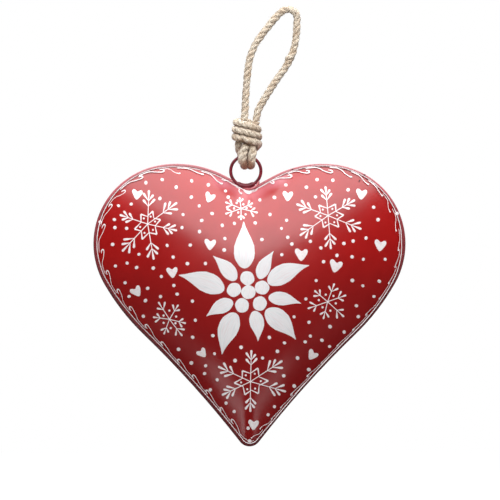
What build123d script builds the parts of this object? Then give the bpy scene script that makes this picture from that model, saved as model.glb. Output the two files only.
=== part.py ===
from build123d import *
import math
import os

import numpy as np

os.makedirs("parts", exist_ok=True)

# Hanging tin heart: two pressed shells hemmed together, a wire ring soldered in the
# notch, and one jute cord that passes through the ring, is wound into a knot and
# makes the loop above it. Millimetres and degrees. X to the right, Z up, front at -Y.
# The origin is the inside top of the cord loop, where a nail or hook bears.

# Outline of the heart, from the lobe tops down
heart_width = 170.0
heart_height = 154.0
notch_depth = 13.75
notch_radius = 4.0
flank_angle = 28.3
crown_angle = 8.5
lobe_radius = 43.5
cheek_radius = 122.0
cheek_angle = 29.5
side_radius = 550.0
tip_radius = 6.5

# Tinplate, and the seam where the two shells are hemmed
sheet = 0.5
rim_width = 2.1
hem_width = 1.3
hem_clearance = 0.1
hem_rounding = 0.4
foot_step = 1.2

# Pressed dome of each shell
dome_height = 22.5
dome_centre_depth = 58.0
dome_fullness = 2.4
valley_fade = 1.2
soft_waves = 3
grid_step = 4.0
surface_tolerance = 0.05
rim_bearings = 720
share_halvings = 40
overrun = 45.0

# Ring of painted wire, soldered into the notch
ring_diameter = 18.2
ring_wire = 1.75
ring_offset = 2.0
ring_sink = 1.45
seat_clearance = 0.05
solder_radius = 1.45
solder_from = -118.0
solder_to = -64.0

# Jute cord
cord_diameter = 3.8
strand_gap = 0.45
knot_offset = 0.6
knot_height = 18.9
winding_pitch = 4.4
winding_rise = 8.1
winding_tilt = 7.0
winding_sides = 11
bight_reach = 4.3
bight_bottom = 3.45
bight_flare = 3.2
bight_foot = 2.2
bight_shoulder = 2.5
bight_arc_share = 0.96
arc_share = 0.45
bight_leave = 5.2
right_drop = 0.45
rise_height = 0.4
rise_end = 0.0
tail_bulge = 4.3
tail_shoulder = 3.2
tail_leave = 8.0
tail_inset = 1.4
samples_across = 10

# Where the cord's free loop is led, from the knot's right strand over the nail to
# its left strand. It leaves the knot straight up on both sides.
knot_x = -23.05
knot_top_z = -59.05
exit_run = 2.6
loop_points = [
    (-18.7, -2.0, -52.2),
    (-14.3, -1.8, -45.1),
    (-8.4, -1.5, -36.9),
    (-2.8, -1.2, -29.7),
    (1.0, -0.9, -22.1),
    (3.3, -0.6, -13.8),
    (4.2, -0.3, -6.5),
    (4.35, -0.1, -0.4),
    (0.95, 0.0, 2.2),
    (-3.4, -0.1, 1.3),
    (-7.5, -0.3, -2.5),
    (-13.5, -0.6, -10.2),
    (-18.8, -0.9, -17.3),
    (-21.6, -1.2, -24.9),
    (-22.8, -1.5, -33.6),
    (-23.8, -1.8, -42.9),
    (-24.6, -2.0, -50.2),
]


def unit(angle):
    return Vector(math.cos(math.radians(angle)), math.sin(math.radians(angle)))


def towards(start, end):
    return (end - start).normalized()


# Heart outline as tangent arcs, in its own plane: y up, zero at the lobe tops. The
# crown's arc is as large as fits between the flank of the notch and the lobe.

flank_run = notch_depth / math.tan(math.radians(flank_angle))
flank_share = math.tan(math.radians(flank_angle / 2))
crown_share = math.sin(math.radians(crown_angle))
crown_room = heart_width / 2 - lobe_radius + lobe_radius * crown_share - flank_run
crown_radius = crown_room / (flank_share + crown_share)


def heart_centres():
    crown = Vector(flank_run + crown_radius * flank_share, -crown_radius)
    lobe = crown + unit(90.0 - crown_angle) * (crown_radius - lobe_radius)
    cheek = lobe - unit(-cheek_angle) * (cheek_radius - lobe_radius)
    tip = Vector(0, tip_radius - heart_height)
    reach = (tip - cheek).length
    cheek_arm = side_radius + cheek_radius
    tip_arm = side_radius + tip_radius
    along = (cheek_arm**2 - tip_arm**2 + reach**2) / (2 * reach)
    aside = math.sqrt(cheek_arm**2 - along**2)
    chord = towards(cheek, tip)
    side = cheek + chord * along + Vector(-chord.Y, chord.X) * aside
    return crown, lobe, cheek, side, tip


def arc_between(centre, radius, start, end):
    middle = ((start - centre) + (end - centre)).normalized()
    return ThreePointArc(start, centre + middle * radius, end)


def half_outline(inset):
    crown, lobe, cheek, side, tip = heart_centres()
    flank_normal = unit(flank_angle + 90.0)
    notch = Vector(0, notch_radius / flank_normal.Y - notch_depth)
    corners = [
        notch - Vector(0, notch_radius + inset),
        notch - flank_normal * (notch_radius + inset),
        crown + flank_normal * (crown_radius - inset),
        crown + towards(crown, lobe) * (crown_radius - inset),
        lobe + unit(-cheek_angle) * (lobe_radius - inset),
        cheek + towards(cheek, side) * (cheek_radius - inset),
        tip + towards(tip, side) * (tip_radius - inset),
        tip - Vector(0, tip_radius - inset),
    ]
    return [
        arc_between(notch, notch_radius + inset, corners[0], corners[1]),
        Line(corners[1], corners[2]),
        arc_between(crown, crown_radius - inset, corners[2], corners[3]),
        arc_between(lobe, lobe_radius - inset, corners[3], corners[4]),
        arc_between(cheek, cheek_radius - inset, corners[4], corners[5]),
        arc_between(side, side_radius + inset, corners[5], corners[6]),
        arc_between(tip, tip_radius - inset, corners[6], corners[7]),
    ]


def heart_face(inset):
    right = Curve() + half_outline(inset)
    left = mirror(right, about=Plane.YZ)
    return make_face(right + left).face()


def heart_plate(inset, low, high):
    return Pos(0, 0, low) * extrude(heart_face(inset), amount=high - low)


# Height of the dome, on a square grid: contours follow the rim near the seam and
# grow rounder towards the crown, so the notch valley and the tip's ridge fade out

def rim_radii(angles):
    samples = []
    for edge in heart_face(rim_width).outer_wire().edges():
        for share in np.linspace(0, 1, len(angles) // 4, endpoint=False):
            samples.append(edge.position_at(share, PositionMode.PARAMETER))
    across = np.array([point.X for point in samples])
    up = np.array([point.Y for point in samples]) + dome_centre_depth
    bearing = np.arctan2(up, across)
    order = np.argsort(bearing)
    return np.interp(angles, bearing[order], np.hypot(across, up)[order], period=2 * math.pi)


def dome_shares(across, up):
    angles = np.linspace(-math.pi, math.pi, rim_bearings, endpoint=False)
    sharp = rim_radii(angles)
    waves = np.fft.rfft(sharp)
    waves[soft_waves + 1:] = 0
    soft = np.fft.irfft(waves, len(angles))
    bearing = np.arctan2(up + dome_centre_depth, across)
    distance = np.hypot(across, up + dome_centre_depth)
    rim = np.interp(bearing, angles, sharp, period=2 * math.pi)
    inner = np.interp(bearing, angles, soft, period=2 * math.pi)
    low = np.zeros_like(distance)
    high = np.ones_like(distance)
    for _ in range(share_halvings):
        middle = (low + high) / 2
        beyond = middle * (inner + (rim - inner) * middle**valley_fade) > distance
        high = np.where(beyond, middle, high)
        low = np.where(beyond, low, middle)
    return np.where(distance < rim, high, distance / rim)


def dome_heights():
    columns = 2 * math.ceil(heart_width / 2 / grid_step + 2)
    rows = math.ceil(heart_height / grid_step) + 4
    across = (np.arange(columns + 1) - columns / 2) * grid_step
    up = (np.arange(rows + 1) - rows + 2) * grid_step
    across, up = np.meshgrid(across, up)
    share = dome_shares(across, up)
    fall = np.where(share < 1, share**dome_fullness, 1 + dome_fullness * (share - 1))
    return across, up, foot_step + (dome_height - foot_step) * (1 - fall)


def under_surface(across, up, height):
    points = [[Vector(*place) for place in zip(*line)] for line in zip(across, up, height)]
    surface = Face.make_surface_from_array_of_points(points, tol=surface_tolerance, min_deg=3, max_deg=5)
    return extrude(surface, amount=overrun, dir=(0, 0, -1))


def dome_and_hollow():
    across, up, height = dome_heights()
    slope_up, slope_across = np.gradient(height, grid_step)
    inside = height - sheet * np.sqrt(1 + slope_up**2 + slope_across**2)
    dome = heart_plate(rim_width, 0, overrun) & under_surface(across, up, height)
    hollow = heart_plate(rim_width + sheet, -sheet, overrun) & under_surface(across, up, inside)
    return dome, hollow


# Places below the loop: the ring hangs in the cord, the heart hangs from the ring

strand = cord_diameter + strand_gap
side = strand / 2
ring_radius = (ring_diameter - ring_wire) / 2
hinge_z = knot_top_z - knot_height
ring_x = knot_x - knot_offset
ring_z = hinge_z - ring_radius
heart_x = ring_x + ring_offset


def ring_height_in_heart():
    normal = unit(flank_angle + 90.0)
    stand_off = ring_diameter / 2 - ring_sink
    return (stand_off - normal.X * ring_offset) / normal.Y - notch_depth


heart_z = ring_z - ring_height_in_heart()
heart_place = Pos(heart_x, 0, heart_z) * Rot(90, 0, 0)
ring_place = Pos(ring_x, 0, ring_z) * Rot(90, 0, 0)


# Shells: the back one's flange is folded over the front one's as a hem

def hem_fold():
    lip = heart_plate(0, 0, 2 * sheet) - heart_plate(hem_width, 0, 2 * sheet)
    return lip - heart_plate(sheet, 0, sheet)


def is_rim_corner(edge, rim):
    start, end = edge @ 0, edge @ 1
    level = min(abs(start.Z - 2 * sheet), abs(start.Z + sheet)) + abs(start.Z - end.Z)
    away = rim.distance_to(Vector(start.X, start.Y)) + rim.distance_to(Vector(end.X, end.Y))
    return level < seat_clearance and away < seat_clearance


def rounded_rim(shell):
    rim = heart_face(0).outer_wire()
    return fillet([edge for edge in shell.edges() if is_rim_corner(edge, rim)], hem_rounding)


def shells():
    dome, hollow = dome_and_hollow()
    front = heart_plate(sheet + hem_clearance, 0, sheet) + dome - hollow
    back = mirror(heart_plate(0, 0, sheet) + dome - hollow, about=Plane.XY)
    back = rounded_rim(back + hem_fold())
    seat = ring_place * Cylinder(ring_diameter / 2 + seat_clearance, overrun)
    return heart_place * front - seat, heart_place * back - seat


# Ring, with the solder that fills the notch under it

def hanging_ring():
    return ring_place * Torus(ring_radius, ring_wire / 2)


def solder_bead(others):
    places = [solder_from + (solder_to - solder_from) * share for share in (0, 0.5, 1)]
    arms = [Vector(unit(place).X, 0, unit(place).Y) * ring_radius for place in places]
    path = ThreePointArc(*[Vector(ring_x, 0, ring_z) + arm for arm in arms])
    bead = sweep(Plane(path @ 0, z_dir=path % 0) * Circle(solder_radius), path)
    for end in (path @ 0, path @ 1):
        bead += Pos(*end) * Sphere(solder_radius)
    for other in others:
        bead -= other
    return max(bead.solids(), key=lambda solid: solid.volume)


# Cord: straight runs and tangent arcs, swept with its round section

def corner_radii(points):
    radii = []
    for before, corner, after in zip(points, points[1:], points[2:]):
        first, second = corner - before, after - corner
        half_turn = math.radians(first.get_angle(second)) / 2
        radii.append(arc_share * min(first.length, second.length) / math.tan(half_turn))
    return radii


def cord_tube(name, path):
    tube = sweep(Plane(path @ 0, z_dir=path % 0) * Circle(cord_diameter / 2), path)
    straight = math.pi * (cord_diameter / 2)**2 * path.length
    print(name, "length", round(path.length, 1), "volume share", round(tube.volume / straight, 4))
    return tube


def loop_path():
    right = Vector(knot_x + side, -side, knot_top_z)
    left = Vector(knot_x - side, -side, knot_top_z)
    rise = Vector(0, 0, exit_run)
    points = [right, right + rise] + [Vector(*point) for point in loop_points] + [left + rise, left]
    radii = corner_radii(points)
    print("loop radii", [round(radius, 1) for radius in radii])
    return FilletPolyline(*points, radius=radii)


def knot_point(across, forward, up):
    return Vector(knot_x + across, forward, hinge_z + up)


def bight(hand, bottom, end_points):
    points = [
        knot_point(hand * side, -side, knot_height),
        knot_point(hand * side, -side, bight_leave),
        knot_point(hand * bight_flare, -bight_reach, bight_shoulder),
        knot_point(hand * bight_foot, -bight_reach, -bottom),
        knot_point(hand * bight_foot, bight_reach, -bottom),
    ] + end_points
    radii = corner_radii(points)
    radii[2] = radii[3] = bight_reach * bight_arc_share
    print("bight radii", [round(radius, 1) for radius in radii])
    return FilletPolyline(*points, radius=radii)


def left_strand():
    tail = [
        knot_point(-tail_bulge, bight_reach, tail_shoulder),
        knot_point(-side, side, tail_leave),
        knot_point(-side, side, knot_height - tail_inset),
    ]
    return bight(-1, bight_bottom, tail)


# Winding: runs along the four sides of the strands it holds, joined by quarter turns

quarter = strand * (1 + math.pi / 2)


def winding_side(number, along):
    outward = unit(-90.0 * number)
    heading = unit(-90.0 * number - 90.0)
    place = outward * (side + strand) + heading * along
    tilt = math.tan(math.radians(winding_tilt))
    climb = winding_pitch / (4 * quarter)
    up = winding_rise + climb * ((number - 1) * quarter + along) - tilt * place.X
    way = Vector(heading.X, heading.Y, climb - tilt * heading.X).normalized()
    return knot_point(place.X, place.Y, up), way


def biarc(start, start_way, end, end_way):
    chord = end - start
    spread = 2 * (1 - start_way.dot(end_way))
    lean = chord.dot(start_way + end_way)
    reach = (math.sqrt(lean**2 + spread * chord.dot(chord)) - lean) / spread
    joint = (start + end + (start_way - end_way) * reach) / 2
    joint_way = towards(start + start_way * reach, end - end_way * reach)
    first = Edge.make_tangent_arc(start, start_way, joint)
    return [first, Edge.make_tangent_arc(joint, joint_way, end)]


def right_strand():
    rise = knot_point(bight_foot, bight_reach, rise_height)
    front = bight(1, bight_bottom + right_drop, [rise])
    place, way = winding_side(0, rise_end)
    edges = list(front.edges()) + biarc(rise, Vector(0, 0, 1), place, way)
    print("rise radii", [round(edge.radius, 1) for edge in edges[-2:]])
    for number in range(winding_sides):
        end, end_way = winding_side(number, side)
        edges.append(Edge.make_line(place, end))
        place, way = winding_side(number + 1, -side)
        edges += biarc(end, end_way, place, way)
    end, end_way = winding_side(winding_sides, side)
    edges.append(Edge.make_line(place, end))
    return Wire(edges)


def samples(path, spacing):
    count = math.ceil(path.length / spacing)
    return np.array([tuple(path @ share) for share in np.linspace(0, 1, count + 1)])


def least_gap(first, second, skip=0):
    distance = np.linalg.norm(first[:, None] - second[None], axis=2)
    if skip:
        apart = abs(np.arange(len(first))[:, None] - np.arange(len(second))[None])
        distance = distance[apart > skip]
    return distance.min()


def ring_line(swing):
    turn = np.linspace(0, 2 * math.pi, 360)
    down = ring_radius * (1 - np.cos(turn))
    lean = math.radians(swing)
    across = ring_x + ring_radius * np.sin(turn)
    return np.array([across, down * math.sin(lean), hinge_z - down * math.cos(lean)]).T


def print_gaps(left, right):
    left = samples(left, cord_diameter / samples_across)
    right = samples(right, cord_diameter / samples_across)
    near = math.ceil(2.5 * samples_across)
    print("winding, least gap to itself", round(least_gap(right, right, near) - cord_diameter, 2))
    print("left strand, least gap to itself", round(least_gap(left, left, near) - cord_diameter, 2))
    print("strand to strand", round(least_gap(left, right) - cord_diameter, 2))
    contact = (cord_diameter + ring_wire) / 2
    for swing in (-90, -45, 0, 45, 90):
        gaps = [least_gap(ring_line(swing), strand) - contact for strand in (left, right)]
        print("ring in the cord at", swing, "degrees", [round(float(gap), 2) for gap in gaps])


loop = loop_path()
left = left_strand()
right = right_strand()
print_gaps(left, right)
front, back = shells()
ring = hanging_ring()

pieces = {
    "cord_loop": cord_tube("cord loop", loop),
    "knot_strand": cord_tube("knot strand", left),
    "knot_winding": cord_tube("knot winding", right),
    "hanging_ring": ring,
    "ring_solder": solder_bead([ring, front, back]),
    "front_shell": front,
    "back_shell": back,
}
for name, piece in pieces.items():
    export_step(piece, f"parts/{name}.step")
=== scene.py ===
import bpy
import math
import random

import numpy as np
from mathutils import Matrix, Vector
from mathutils.bvhtree import BVHTree


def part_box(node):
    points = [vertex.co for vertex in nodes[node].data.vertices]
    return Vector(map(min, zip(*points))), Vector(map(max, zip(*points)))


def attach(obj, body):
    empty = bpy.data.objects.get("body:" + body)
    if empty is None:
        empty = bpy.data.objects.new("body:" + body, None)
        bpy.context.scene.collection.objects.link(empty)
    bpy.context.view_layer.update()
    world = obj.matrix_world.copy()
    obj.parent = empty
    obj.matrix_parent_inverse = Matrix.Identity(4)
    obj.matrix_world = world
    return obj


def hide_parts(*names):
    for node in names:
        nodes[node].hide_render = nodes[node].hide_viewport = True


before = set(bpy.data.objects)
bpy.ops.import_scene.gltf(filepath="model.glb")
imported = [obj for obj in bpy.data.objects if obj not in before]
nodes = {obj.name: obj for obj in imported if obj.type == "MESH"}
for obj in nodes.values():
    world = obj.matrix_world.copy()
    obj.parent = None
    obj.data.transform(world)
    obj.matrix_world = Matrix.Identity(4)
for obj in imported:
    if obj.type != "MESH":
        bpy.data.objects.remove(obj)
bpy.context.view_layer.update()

mm = 0.001

# Where the photograph's pixels lie in the frame, at the plane of the heart's rim
photo = {"pixel": 0.54487 * mm, "originX": 289.2, "originY": 12.84, "middle": 250.0, "width": 500}
pixel = photo["pixel"]


def photoPlace(px, py):
    return Vector(((px - photo["originX"]) * pixel, 0, (photo["originY"] - py) * pixel))


# Small helpers for node materials

def newMaterial(name):
    mat = bpy.data.materials.new(name)
    mat.use_nodes = True
    tree = mat.node_tree
    return mat, tree, tree.nodes["Principled BSDF"]


def setInputs(node, values):
    for name, value in values.items():
        node.inputs[name].default_value = value


def colourOf(tree, shader, tone, surface):
    tree.links.new(tone, shader.inputs["Base Color"])
    setInputs(shader, surface)


def texCoords(tree, kind):
    return tree.nodes.new("ShaderNodeTexCoord").outputs[kind]


def stretched(tree, coords, scale):
    node = tree.nodes.new("ShaderNodeMapping")
    node.inputs["Scale"].default_value = scale
    tree.links.new(coords, node.inputs["Vector"])
    return node.outputs["Vector"]


def noiseOn(tree, coords, scale, detail, roughness):
    node = tree.nodes.new("ShaderNodeTexNoise")
    setInputs(node, {"Scale": scale, "Detail": detail, "Roughness": roughness})
    tree.links.new(coords, node.inputs["Vector"])
    return node.outputs["Fac"]


def ramp(tree, fac, stops):
    node = tree.nodes.new("ShaderNodeValToRGB")
    while len(node.color_ramp.elements) < len(stops):
        node.color_ramp.elements.new(0.5)
    for element, (place, colour) in zip(node.color_ramp.elements, stops):
        element.position = place
        element.color = (*colour, 1)
    tree.links.new(fac, node.inputs["Fac"])
    return node.outputs["Color"]


def mixed(tree, fac, first, second, mode="MIX"):
    node = tree.nodes.new("ShaderNodeMix")
    node.data_type = "RGBA"
    node.blend_type = mode
    for socket, value in ((node.inputs["Factor"], fac), (node.inputs[6], first), (node.inputs[7], second)):
        if isinstance(value, (tuple, float)):
            socket.default_value = value
        else:
            tree.links.new(value, socket)
    return node.outputs[2]


def sums(tree, operation, first, second):
    node = tree.nodes.new("ShaderNodeMath")
    node.operation = operation
    for socket, value in zip(node.inputs, (first, second)):
        if isinstance(value, (int, float)):
            socket.default_value = value
        else:
            tree.links.new(value, socket)
    return node.outputs[0]


def rangeOf(tree, value, bottom, top, lowest=0.0):
    node = tree.nodes.new("ShaderNodeMapRange")
    setInputs(node, {"From Min": bottom, "From Max": top, "To Min": lowest})
    tree.links.new(value, node.inputs["Value"])
    return node.outputs["Result"]


# One inside the first reach of a place, falling to nothing at the second
def nearSpot(tree, coords, place, full, faint):
    away = tree.nodes.new("ShaderNodeVectorMath")
    away.operation = "DISTANCE"
    away.inputs[1].default_value = place
    tree.links.new(coords, away.inputs[0])
    near = rangeOf(tree, away.outputs["Value"], faint, full)
    near.node.interpolation_type = "SMOOTHSTEP"
    return near


def tinted(tree, fac, tone, colour):
    return mixed(tree, fac, tone, mixed(tree, 1.0, tone, (*colour, 1), "MULTIPLY"))


def bumpFrom(tree, shader, height, distance, strength):
    node = tree.nodes.new("ShaderNodeBump")
    setInputs(node, {"Strength": strength, "Distance": distance})
    tree.links.new(height, node.inputs["Height"])
    tree.links.new(node.outputs["Normal"], shader.inputs["Normal"])


def blended(tree, fac, first, second, output):
    node = tree.nodes.new("ShaderNodeMixShader")
    for socket, value in zip(node.inputs, (fac, first.outputs[0], second.outputs[0])):
        tree.links.new(value, socket)
    tree.links.new(node.outputs[0], tree.nodes[output].inputs["Surface"])


def paint(piece, mat):
    piece.data.materials.clear()
    piece.data.materials.append(mat)


# Camera, floor and light

camera = {"distance": 1.2, "sensor": 36.0, "clipStart": 0.01}
middle = photoPlace(photo["middle"], photo["middle"])
cameraSpot = middle - Vector((0, camera["distance"], 0))


def deselectAll():
    if bpy.context.object and bpy.context.object.mode != "OBJECT":
        bpy.ops.object.mode_set(mode="OBJECT")
    bpy.ops.object.select_all(action="DESELECT")


def selectOnly(piece):
    deselectAll()
    piece.select_set(True)
    bpy.context.view_layer.objects.active = piece


def addCamera():
    deselectAll()
    bpy.ops.object.camera_add(location=cameraSpot, rotation=(math.radians(90), 0, 0))
    cam = bpy.context.object
    cam.name = "photoCamera"
    cam.data.sensor_width = camera["sensor"]
    cam.data.lens = camera["sensor"] * camera["distance"] / (photo["width"] * pixel)
    cam.data.clip_start = camera["clipStart"]
    cam.data.dof.use_dof = False
    bpy.context.scene.camera = cam


studio = {
    "floorZ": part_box("back_shell")[0].z - 0.12,
    "floorSize": 16.0,
    "floorColour": (0.16, 0.16, 0.155, 1),
    "floorSeen": (0.8, 0.8, 0.79, 1),  # its colour as the camera sees it
    "floorRoughness": 0.9,
    "shadowGlow": 0.55, "glowFrom": 0.1, "glowTo": 1.3,  # the floor's own white, near and far off
    "worldColour": (0.012, 0.012, 0.012, 1),
    "ceiling": {"place": (0, -2.6, 0.9), "aim": (0, -2.6, 0), "size": (1.8, 10.8), "power": 182,
                "colour": (1.0, 0.97, 0.99)},
    "fill": {"place": (0, -1.7, -0.2), "aim": (0, 0, 0), "size": (1.4, 1.4), "power": 8.5, "glossy": False},
    "leftCard": {"place": (-0.36, -0.28, -0.50), "aim": (0, 0, -0.07), "size": (0.15, 0.09), "power": 0.115},
    "rightCard": {"place": (0.33, -0.30, -0.48), "aim": (0, 0, -0.07), "size": (0.15, 0.09), "power": 0.07},
}


def softBox(name, box):
    deselectAll()
    place, aim = Vector(box["place"]), Vector(box["aim"])
    turn = (aim - place).to_track_quat("-Z", "Y").to_euler()
    bpy.ops.object.light_add(type="AREA", location=middle + place, rotation=turn)
    lamp = bpy.context.object
    lamp.name = name
    lamp.data.shape = "RECTANGLE"
    lamp.data.size, lamp.data.size_y = box["size"]
    lamp.data.energy = box["power"]
    lamp.data.color = box.get("colour", (1, 1, 1))
    lamp.visible_camera = False
    lamp.visible_glossy = box.get("glossy", True)


def addFloor():
    deselectAll()
    bpy.ops.mesh.primitive_plane_add(size=studio["floorSize"], location=(0, 0, studio["floorZ"]))
    floor = bpy.context.object
    floor.name = "paleFloor"
    mat, tree, shader = newMaterial("paleFloor")
    glow = tree.nodes.new("ShaderNodeEmission")
    rays = tree.nodes.new("ShaderNodeLightPath")
    away = tree.nodes.new("ShaderNodeVectorMath")
    away.operation = "LENGTH"
    tree.links.new(texCoords(tree, "Object"), away.inputs[0])
    own = rangeOf(tree, away.outputs["Value"], studio["glowFrom"], studio["glowTo"], studio["shadowGlow"])
    seen = sums(tree, "MULTIPLY", rays.outputs["Is Camera Ray"], own)
    colour = mixed(tree, rays.outputs["Is Camera Ray"], studio["floorColour"], studio["floorSeen"])
    colourOf(tree, shader, colour, {"Roughness": studio["floorRoughness"]})
    blended(tree, seen, shader, glow, "Material Output")
    floor.data.materials.append(mat)
    floor.visible_glossy = False


def addWorld():
    world = bpy.data.worlds.new("paleStudio")
    bpy.context.scene.world = world
    world.use_nodes = True
    tree = world.node_tree
    dim = tree.nodes["Background"]
    dim.inputs["Color"].default_value = studio["worldColour"]
    white = tree.nodes.new("ShaderNodeBackground")
    white.inputs["Color"].default_value = (1, 1, 1, 1)
    rays = tree.nodes.new("ShaderNodeLightPath")
    blended(tree, rays.outputs["Is Camera Ray"], dim, white, "World Output")


bpy.context.scene.view_settings.view_transform = "Standard"
addCamera()
addFloor()
addWorld()
softBox("ceilingSoftbox", studio["ceiling"])
softBox("frontFill", studio["fill"])
softBox("leftLowCard", studio["leftCard"])
softBox("rightLowCard", studio["rightCard"])
print("camera and studio placed")


# Jute cord: a free loop, a left strand with its tail and a right strand that winds the knot.
# It follows the solids' route, with the loop's feet where the photograph has them.

cord = {
    "knotX": -23.05 * mm, "knotTop": -59.05 * mm, "knotHeight": 18.9 * mm,
    "side": 2.125 * mm,  # half the spacing of the two strands in the knot
    "rightExit": 5.2 * mm, "leftExit": 1.3 * mm, "exitRun": 2.6 * mm,
    "diameter": 3.8 * mm,
    "plies": 3, "pitch": 10.8 * mm, "plyOffset": 0.82 * mm, "plyWide": 1.34 * mm, "plyThick": 1.23 * mm,
    "step": 0.36 * mm, "plySides": 12,
    "windingWidth": 6.2 * mm, "windingCorner": 0.7 * mm, "windingRise": 8.4 * mm,
    "windingPitch": 4.0 * mm, "windingTilt": math.radians(10), "windingTurns": 2.8, "windingStart": 0.25,
    "windingNarrows": 0.1, "narrowsFrom": 1.4, "windingPointsPerTurn": 12,
    "cutInside": 1.035,  # the points lie outside the smooth turns by this much
    "knotSwell": 1.02, "bightSwell": 1.2, "bightFrom": 1.5 * mm, "bightTo": 8.5 * mm, "swellEase": 6 * mm,
    "cutEnd": ((0, 0.4 * mm, 0.9 * mm), (0.6, 0.9, 1)),  # a cut end's rounding: distance, share
    "lump": 0.07, "lumpEvery": 2.4 * mm, "curveSteps": 24,
    # Painted shade where strands lie on each other and in the grooves between the plies
    "shadeApart": 6 * mm, "shadeNear": 2.0 * mm, "shadeFar": 3.3 * mm, "grooveFrom": 0.4, "groove": 0.42,
    "slubPlace": (-1.4 * mm, -1.0 * mm, -24.5 * mm), "slub": 0.8, "slubLong": 1.5 * mm,  # a frayed lump
}
hingeZ = cord["knotTop"] - cord["knotHeight"]

loopRoute = [
    (-16.6, -2.0, -52.2), (-12.4, -1.8, -45.1), (-7.3, -1.5, -36.9), (-1.8, -1.2, -29.7),
    (2.0, -0.9, -22.1), (3.8, -0.6, -13.8), (4.3, -0.3, -6.5), (4.35, -0.1, -0.4),
    (0.95, 0.0, 2.2), (-3.4, -0.1, 1.3), (-7.5, -0.3, -2.5), (-13.5, -0.6, -10.2),
    (-18.8, -0.9, -17.3), (-21.6, -1.2, -24.9), (-22.8, -1.5, -33.6), (-23.5, -1.8, -42.9),
    (-23.9, -2.0, -50.2),
]


def inKnot(across, forward, up):
    return Vector((cord["knotX"] + across * mm, forward * mm, hingeZ + up * mm))


def loopPoints():
    top = cord["knotTop"]
    right = Vector((cord["knotX"] + cord["rightExit"], -cord["side"], top))
    left = Vector((cord["knotX"] - cord["leftExit"], -cord["side"], top))
    rise = Vector((0, 0, cord["exitRun"]))
    return [right, right + rise] + [Vector(point) * mm for point in loopRoute] + [left + rise, left]


def leftPoints():
    return [
        inKnot(-1.3, -2.125, 18.9), inKnot(-0.8, -2.5, 10.4), inKnot(0.5, -4.5, 6.6),
        inKnot(-1.2, -5.2, 3.8), inKnot(-3.0, -5.1, -0.9), inKnot(-1.15, -4.4, -5.4),
        inKnot(-1.4, 4.2, -4.6), inKnot(-3.1, 4.2, 0.8), inKnot(-5.0, 1.8, 5.6), inKnot(-3.2, 2.6, 9.8),
        inKnot(-2.125, 2.125, 17.5),
    ]


def windingPoint(turn):
    angle = -turn * 2 * math.pi
    reach = (cord["windingWidth"] + cord["windingCorner"] * math.sin(2 * angle) ** 2) * cord["cutInside"]
    reach *= 1 - cord["windingNarrows"] * max(0, turn - cord["narrowsFrom"])
    across, forward = reach * math.cos(angle), reach * math.sin(angle)
    up = cord["windingRise"] + cord["windingPitch"] * (turn - cord["windingStart"])
    up -= math.tan(cord["windingTilt"]) * across
    return Vector((cord["knotX"] + across, forward, hingeZ + up))


def rightPoints():
    points = [
        inKnot(5.2, -2.125, 18.9), inKnot(3.0, -2.1, 13.4), inKnot(2.3, -2.3, 8.6), inKnot(3.1, -4.3, 5.0),
        inKnot(2.65, -4.8, -0.8), inKnot(2.2, -4.4, -5.4), inKnot(1.8, 4.3, -4.6), inKnot(1.6, 5.0, 1.6),
        inKnot(4.9, 4.4, 5.2),
    ]
    count = round(cord["windingTurns"] * cord["windingPointsPerTurn"])
    return points + [windingPoint(n / cord["windingPointsPerTurn"]) for n in range(count + 1)]


def nurbs(name, points):
    curve = bpy.data.curves.new(name, "CURVE")
    curve.dimensions = "3D"
    spline = curve.splines.new("NURBS")
    spline.points.add(len(points) - 1)
    for knot, point in zip(spline.points, points):
        knot.co = (*point, 1)
    spline.order_u = 3
    spline.use_endpoint_u = True
    return bpy.data.objects.new(name, curve)


def routeLine(name, points):
    holder = nurbs(name, points)
    curve = holder.data
    curve.splines[0].resolution_u = cord["curveSteps"]
    mesh = bpy.data.meshes.new_from_object(holder)
    line = np.array([vertex.co for vertex in mesh.vertices], float)
    bpy.data.objects.remove(holder)
    bpy.data.curves.remove(curve)
    bpy.data.meshes.remove(mesh)
    return line


def unit(way):
    return way / np.linalg.norm(way)


def evenly(line, step):
    along = np.concatenate([[0], np.cumsum(np.linalg.norm(np.diff(line, axis=0), axis=1))])
    at = np.linspace(0, along[-1], max(2, math.ceil(along[-1] / step) + 1))
    return np.stack([np.interp(at, along, line[:, k]) for k in range(3)], axis=1), at


def turnlessFrames(line, first):
    tangents = np.gradient(line, axis=0)
    tangents /= np.linalg.norm(tangents, axis=1)[:, None]
    normals = [first - tangents[0] * first.dot(tangents[0])]
    for tangent in tangents[1:]:
        normals.append(unit(normals[-1] - tangent * normals[-1].dot(tangent)))
    normals[0] = unit(normals[0])
    normals = np.array(normals)
    return tangents, normals, np.cross(tangents, normals)


def meshPiece(name, verts, faces, uvs=None):
    mesh = bpy.data.meshes.new(name)
    mesh.from_pydata([tuple(v) for v in verts], [], faces)
    if uvs is not None:
        layer = mesh.uv_layers.new(name="UVMap")
        flat = np.array(uvs, float)[[loop.vertex_index for loop in mesh.loops]]
        layer.data.foreach_set("uv", flat.astype(np.float32).ravel())
    piece = bpy.data.objects.new(name, mesh)
    bpy.context.scene.collection.objects.link(piece)
    mesh.polygons.foreach_set("use_smooth", [True] * len(mesh.polygons))
    return piece


def tubeFaces(start, rows, sides):
    faces = []
    for k in range(rows - 1):
        for j in range(sides):
            a, b = start + k * sides + j, start + k * sides + (j + 1) % sides
            faces.append((a, b, b + sides, a + sides))
    last = start + (rows - 1) * sides
    return faces + [tuple(start + j for j in reversed(range(sides))), tuple(last + j for j in range(sides))]


def swellInKnot(centre):
    above = centre[:, 2] - hingeZ
    return np.interp(above, [cord["bightFrom"], cord["bightTo"]], [cord["bightSwell"], cord["knotSwell"]])


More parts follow.
